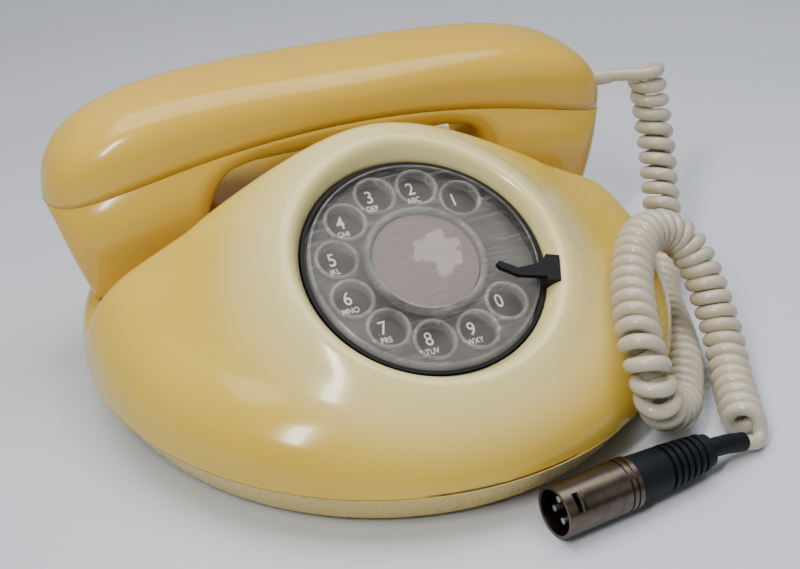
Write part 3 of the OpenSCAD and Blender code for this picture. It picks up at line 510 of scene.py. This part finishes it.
def hand_places(n):
    """Places along the handset, closer at the necks and ends."""
    half = np.r_[np.linspace(0, 40, n // 6), np.linspace(42, 66, n // 3), np.linspace(69, 102, n // 6),
                 HAND_A - 13 + 12.9995 * np.sin(np.linspace(0, math.pi / 2, n // 3))]
    return np.r_[-half[:0:-1], half]


def hand_shell(side, n=57):
    """The shell's outer skin, with a thin rolled edge at the parting line."""
    rows = []
    for x in hand_places(66):
        row = hand_section(x, side, n)
        edge = hand_section(x, side, n, 0.9)[[0, -1]]
        rows.append(np.vstack([edge[:1], row, edge[1:]]))
    m = n + 2
    pts = np.vstack(rows)
    quads = [(i * m + j, (i + 1) * m + j, (i + 1) * m + j + 1, i * m + j + 1)
             for i in range(len(rows) - 1) for j in range(m - 1)]
    if side > 0:
        quads = [q[::-1] for q in quads]
    return pts, quads


hand_mat = aged("handset_plastic", (0.76, 0.49, 0.065), (0.70, 0.42, 0.045), gloss=0.09, patch=7.0, coat=0.2,
                specular=0.35)
# A label once kept a rectangle on the handset's top from fading
tree, shader = hand_mat.node_tree, hand_mat.node_tree.nodes["Principled BSDF"]
place = linked(tree, "ShaderNodeVectorMath", {"operation": "SUBTRACT"},
               i0=own_place(tree), i1=(0.0165, 0.0375, 0.108))
share = linked(tree, "ShaderNodeVectorMath", {"operation": "DIVIDE"}, i0=place.outputs[0],
               i1=(0.0165, 0.0125, 0.02))
share = linked(tree, "ShaderNodeVectorMath", {"operation": "ABSOLUTE"}, i0=share.outputs[0])
split = linked(tree, "ShaderNodeSeparateXYZ", i0=share.outputs[0])
most = linked(tree, "ShaderNodeMath", {"operation": "MAXIMUM"}, i0=split.outputs[0], i1=split.outputs[1])
most = linked(tree, "ShaderNodeMath", {"operation": "MAXIMUM"}, i0=most.outputs[0], i1=split.outputs[2])
inside = linked(tree, "ShaderNodeMapRange", Value=most.outputs[0], From_Min=0.96, From_Max=1.0,
                To_Min=0.5, To_Max=0.0)
tinted(tree, shader, inside.outputs[0], (0.70, 0.44, 0.04))
for side, node in ((1, "handset_upper"), (-1, "handset_lower")):
    points, faces = hand_shell(side)
    shell = mesh_object(node + "_skin", points * MM, faces, hand_mat)
    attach(shell, "handset")
    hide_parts(node)

# The handset's parting line: a thin dark strip along the seam, painted shade in the gap between the two
# shells
places = hand_places(66)
strip = []
for x in places:
    sec = hand_section(x, 1, 3, 0.55)
    strip.append(sec[[0, 0, 2, 2]] + np.array([[0, 0, -0.9], [0, 0, 0.6], [0, 0, -0.9], [0, 0, 0.6]]))
points = np.vstack(strip)
faces = [(4 * i + k, 4 * i + k + 1, 4 * i + k + 5, 4 * i + k + 4)
         for i in range(len(places) - 1) for k in (0, 2)]
faces += [(0, 1, 3, 2), (len(points) - 4, len(points) - 3, len(points) - 1, len(points) - 2)]
seam = mesh_object("handset_parting_line", points * MM, faces, seam_shade_mat, smooth=False)
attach(seam, "handset")


# --- Dial: a clear acrylic finger wheel, scratched by fifty years of fingers, over a dark number plate.
def at_dial(o):
    """Places an object that was built in the dial's own frame."""
    o.matrix_world = Matrix.Translation(Vector(DIAL * MM)) @ Matrix.Rotation(TILT, 4, "X")
    bpy.context.view_layer.update()
    o.data.transform(o.matrix_world)
    o.matrix_world = Matrix.Identity(4)
    return o


def scratches_group():
    """Crossed fine scratches, and a cloud of wear between them."""
    g, gi, go = group("scratches", [("Scale", "NodeSocketFloat", 1.0)],
                      [("Marks", "NodeSocketFloat"), ("Cloud", "NodeSocketFloat")])
    at = own_place(g)
    marks = None
    for k, turn in enumerate((0.3, 1.2, 2.2)):
        m = linked(g, "ShaderNodeMapping", Vector=at)
        m.inputs["Rotation"].default_value = (0.2 * k, 0.1, turn)
        m.inputs["Scale"].default_value = (60, 900, 60)
        t = linked(g, "ShaderNodeTexNoise", Vector=m.outputs[0], Scale=gi.outputs["Scale"], Detail=2.0)
        r = linked(g, "ShaderNodeMapRange", Value=t.outputs["Fac"], From_Min=0.62, From_Max=0.70)
        marks = r.outputs[0] if marks is None else linked(
            g, "ShaderNodeMath", {"operation": "MAXIMUM"}, i0=marks, i1=r.outputs[0]).outputs[0]
    cloud = linked(g, "ShaderNodeTexNoise", Vector=at, Scale=70.0, Detail=5.0, Roughness=0.65)
    g.links.new(marks, go.inputs["Marks"])
    g.links.new(cloud.outputs["Fac"], go.inputs["Cloud"])
    return g


SCRATCHES = scratches_group()


def clear_plastic(name, milk, see, cloudy):
    """Clear plastic as a thin bright skin: most light goes through, scratches and dust stay pale."""
    m, t, s = material(name)
    g = linked(t, "ShaderNodeGroup", {"node_tree": SCRATCHES})
    alpha = linked(t, "ShaderNodeMath", {"operation": "MULTIPLY_ADD"}, i0=g.outputs["Marks"], i1=0.16, i2=see)
    cloud = linked(t, "ShaderNodeMath", {"operation": "MULTIPLY_ADD"}, i0=g.outputs["Cloud"], i1=cloudy,
                   i2=alpha.outputs[0])
    rough = linked(t, "ShaderNodeMath", {"operation": "MULTIPLY_ADD"}, i0=g.outputs["Cloud"], i1=0.22,
                   i2=0.04)
    bump = linked(t, "ShaderNodeBump", Height=g.outputs["Cloud"], Strength=0.12, Distance=0.0006)
    t.links.new(cloud.outputs[0], s.inputs["Alpha"])
    t.links.new(rough.outputs[0], s.inputs["Roughness"])
    t.links.new(bump.outputs["Normal"], s.inputs["Normal"])
    s.inputs["Base Color"].default_value = (*milk, 1)
    s.inputs["Specular IOR Level"].default_value = 0.5
    s.inputs["Coat Weight"].default_value = 0.6
    s.inputs["Coat Roughness"].default_value = 0.05
    return m


def disc_with_holes(name, rim, holes, z0, z1, bevel, mat):
    """A flat plate with round holes and rolled edges, built in the dial's frame in mm."""
    curve = bpy.data.curves.new(name, "CURVE")
    curve.dimensions = "2D"
    curve.fill_mode = "BOTH"
    curve.extrude = ((z1 - z0) / 2 - bevel) * MM
    curve.bevel_depth = bevel * MM
    curve.bevel_resolution = 3
    curve.offset = -bevel * MM
    for cx, cy, r in [(0, 0, rim)] + holes:
        n = 96 if r > 15 else 40
        line = curve.splines.new("POLY")
        line.points.add(n - 1)
        for i in range(n):
            a = 2 * math.pi * i / n
            line.points[i].co = ((cx + r * math.cos(a)) * MM, (cy + r * math.sin(a)) * MM, 0, 1)
        line.use_cyclic_u = True
    o = bpy.data.objects.new(name, curve)
    bpy.context.scene.collection.objects.link(o)
    bpy.context.view_layer.update()
    mesh = bpy.data.meshes.new_from_object(o.evaluated_get(bpy.context.evaluated_depsgraph_get()))
    mesh.name = name
    bpy.data.objects.remove(o)
    mesh.transform(Matrix.Translation((0, 0, (z0 + z1) / 2 * MM)))
    mesh.materials.clear()
    mesh.materials.append(mat)
    solid = bpy.data.objects.new(name, mesh)
    bpy.context.scene.collection.objects.link(solid)
    return at_dial(solid)


HOLE_R, HOLE_CIRCLE_R, CARD_HOLE_R, WHEEL_T = 6.4, 31.8, 19.8, 4.0
hole_turns = [math.radians(45 + 30 * i) for i in range(10)]
HOLE_PLACES = [(HOLE_CIRCLE_R * math.cos(a), HOLE_CIRCLE_R * math.sin(a)) for a in hole_turns]
WHEEL_R, WHEEL_TOP = 42.2, 1.8
wheel_mat = clear_plastic("wheel_acrylic", (0.24, 0.23, 0.21), 0.02, 0.07)
wheel_holes = [(x, y, HOLE_R) for x, y in HOLE_PLACES] + [(0, 0, CARD_HOLE_R)]
wheel = disc_with_holes("finger_wheel_acrylic", WHEEL_R, wheel_holes, WHEEL_TOP - WHEEL_T, WHEEL_TOP, 0.9,
                        wheel_mat)
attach(wheel, "dial")
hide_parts("finger_wheel")
edge_mat = clear_plastic("wheel_edges", (0.80, 0.80, 0.78), -0.16, 0.60)

# Rolled lips that guide a finger into each hole, the collar round the card and the wheel's own rim
LIP = [(6.4, -4.0), (6.35, -1.1), (6.6, 0.1), (7.1, 0.45), (7.7, 0.3), (8.1, -0.05)]
COLLAR = [(19.7, -4.0), (19.7, 2.0), (20.1, 2.5), (20.9, 2.65), (21.9, 2.3), (22.4, 1.5), (22.7, 0.0)]
RIM = [(WHEEL_R - 1.1, 0.03), (WHEEL_R - 0.2, -0.3), (WHEEL_R + 0.05, -1.2), (WHEEL_R + 0.05, -2.6)]
edge_pts, edge_faces = [], []
turned = [(LIP, x, y, 40) for x, y in HOLE_PLACES] + [(COLLAR, 0, 0, 96), (RIM, 0, 0, 128)]
for profile, x, y, sides in turned:
    p, f = lathe(profile, sides)
    start = sum(len(q) for q in edge_pts)
    edge_faces += [tuple(i + start for i in q) for q in f]
    edge_pts.append(p + (x, y, WHEEL_TOP))
edges = at_dial(mesh_object("finger_wheel_edges", np.vstack(edge_pts) * MM, edge_faces, edge_mat))
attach(edges, "dial")

# --- Dial characters: pale printed numbers with small letters under them, on the plate below the wheel.
print_mat, tree, shader = material("dial_print")
wear = linked(tree, "ShaderNodeTexNoise", Vector=own_place(tree), Scale=500.0)
tone = linked(tree, "ShaderNodeMix", {"data_type": "RGBA"}, i0=wear.outputs["Fac"],
              i6=(0.72, 0.70, 0.62, 1), i7=(0.90, 0.88, 0.80, 1))
tree.links.new(tone.outputs[2], shader.inputs["Base Color"])
shader.inputs["Roughness"].default_value = 0.5
LETTERS = ["", "ABC", "DEF", "GHI", "JKL", "MNO", "PRS", "TUV", "WXY", ""]
PRINT_H, NARROW = -5.94, 0.86
NUMBER_STYLE, LETTER_STYLE = (7.4, 0.8, 4.2, 0.06), (3.2, 0.4, -0.6, 0.02)
texts = []
for i, (x, y) in enumerate(HOLE_PLACES):
    for words, (size, aside, rise, bold) in ((str((i + 1) % 10), NUMBER_STYLE), (LETTERS[i], LETTER_STYLE)):
        if not words:
            continue
        curve = bpy.data.curves.new("characters", "FONT")
        curve.body = words
        curve.size = size * MM
        curve.align_x = "CENTER"
        curve.align_y = "CENTER"
        curve.offset = bold * MM
        o = bpy.data.objects.new("characters", curve)
        bpy.context.scene.collection.objects.link(o)
        bpy.context.view_layer.update()
        mesh = bpy.data.meshes.new_from_object(o.evaluated_get(bpy.context.evaluated_depsgraph_get()))
        on_plate = Matrix.Translation(((x + aside) * MM, (y + rise) * MM, PRINT_H * MM))
        mesh.transform(on_plate @ Matrix.Diagonal((NARROW, 1, 1, 1)))
        texts.append((np.array([v.co for v in mesh.vertices]), [tuple(p.vertices) for p in mesh.polygons]))
        bpy.data.objects.remove(o)
        bpy.data.meshes.remove(mesh)
text_pts, text_faces, count = [], [], 0
for p, f in texts:
    text_pts.append(p)
    text_faces += [tuple(i + count for i in q) for q in f]
    count += len(p)
numbers = at_dial(mesh_object("dial_characters", np.vstack(text_pts), text_faces, print_mat, smooth=False))
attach(numbers, "telephone")


# --- Small parts that keep their CAD shape: each gets its own finish.
def metal(name, colour, rough, worn=0.15, scale=120.0):
    """A bare metal with duller patches."""
    m, t, s = material(name)
    a = linked(t, "ShaderNodeGroup", {"node_tree": AGED})
    a.inputs["Colour"].default_value = (*colour, 1)
    a.inputs["Deep"].default_value = (*[c * (1 - worn) for c in colour], 1)
    a.inputs["Patch Size"].default_value = scale
    a.inputs["Gloss"].default_value = rough
    t.links.new(a.outputs["Colour"], s.inputs["Base Color"])
    t.links.new(a.outputs["Roughness"], s.inputs["Roughness"])
    s.inputs["Metallic"].default_value = 1.0
    return m


base_mat = aged("base_plastic", (0.74, 0.58, 0.16), (0.68, 0.50, 0.12), gloss=0.16, patch=9.0, coat=0.1)
black = aged("black_plastic", (0.006, 0.007, 0.008), (0.011, 0.012, 0.013), gloss=0.30, patch=60.0,
             coat=0.0, dust=0.0, specular=0.12)
rubber = aged("black_rubber", (0.004, 0.006, 0.009), (0.008, 0.011, 0.015), gloss=0.45, patch=60.0,
              coat=0.0, dust=0.0, specular=0.2)
plate = aged("number_plate_lacquer", (0.085, 0.076, 0.070), (0.12, 0.107, 0.096), gloss=0.35, patch=80.0,
             coat=0.0, dust=0.03, specular=0.3)
steel = metal("zinc_plated_steel", (0.55, 0.54, 0.52), 0.28)
brass = metal("plain_brass", (0.62, 0.47, 0.22), 0.25)
nickel = metal("tarnished_nickel", (0.15, 0.12, 0.095), 0.20, 0.35, 160.0)
grey = metal("drawn_aluminium", (0.6, 0.6, 0.6), 0.3)
copper = aged("varnished_winding", (0.30, 0.10, 0.04), (0.22, 0.07, 0.03), gloss=0.2, patch=90.0)
nylon = aged("white_nylon", (0.72, 0.70, 0.63), (0.66, 0.62, 0.54), gloss=0.35, patch=40.0)
card_mat, tree, shader = material("number_card_paper")
at = own_place(tree)
blot = linked(tree, "ShaderNodeTexNoise", Vector=at, Scale=95.0, Detail=6.0, Roughness=0.62)
place = linked(tree, "ShaderNodeVectorMath", {"operation": "DISTANCE"}, i0=at, i1=(0.006, -0.042, 0.0665))
spread = linked(tree, "ShaderNodeMath", {"operation": "MULTIPLY_ADD"}, i0=place.outputs["Value"], i1=-42.0,
               i2=blot.outputs["Fac"])
mask = linked(tree, "ShaderNodeMapRange", Value=spread.outputs[0], From_Min=0.14, From_Max=0.18)
tone = linked(tree, "ShaderNodeMix", {"data_type": "RGBA"}, i0=mask.outputs[0],
              i6=(0.20, 0.15, 0.13, 1), i7=(0.36, 0.31, 0.265, 1))
tree.links.new(tone.outputs[2], shader.inputs["Base Color"])
shader.inputs["Roughness"].default_value = 0.4
cap_mat = clear_plastic("cap_acrylic", (0.30, 0.27, 0.25), 0.0, 0.04)
by_slot = {
    "cream_plastic": base_mat, "golden_plastic": hand_mat, "black_plastic": black, "clear_plastic": cap_mat,
    "card": card_mat, "number_black": plate, "rubber": rubber, "steel": steel, "brass": brass,
    "nickel": nickel, "cord_plastic": cord_mat, "coil_winding": copper, "white_plastic": nylon,
    "grey_metal": grey,
}
for sub in frame["record"]["subparts"]:
    node = frame["nodes"][sub["node"]]
    node.data.materials.clear()
    node.data.materials.append(by_slot[sub["material_slot"]])
for name in ("plug_boot", "plug_sleeve"):
    frame["nodes"][name].data.materials[0] = rubber
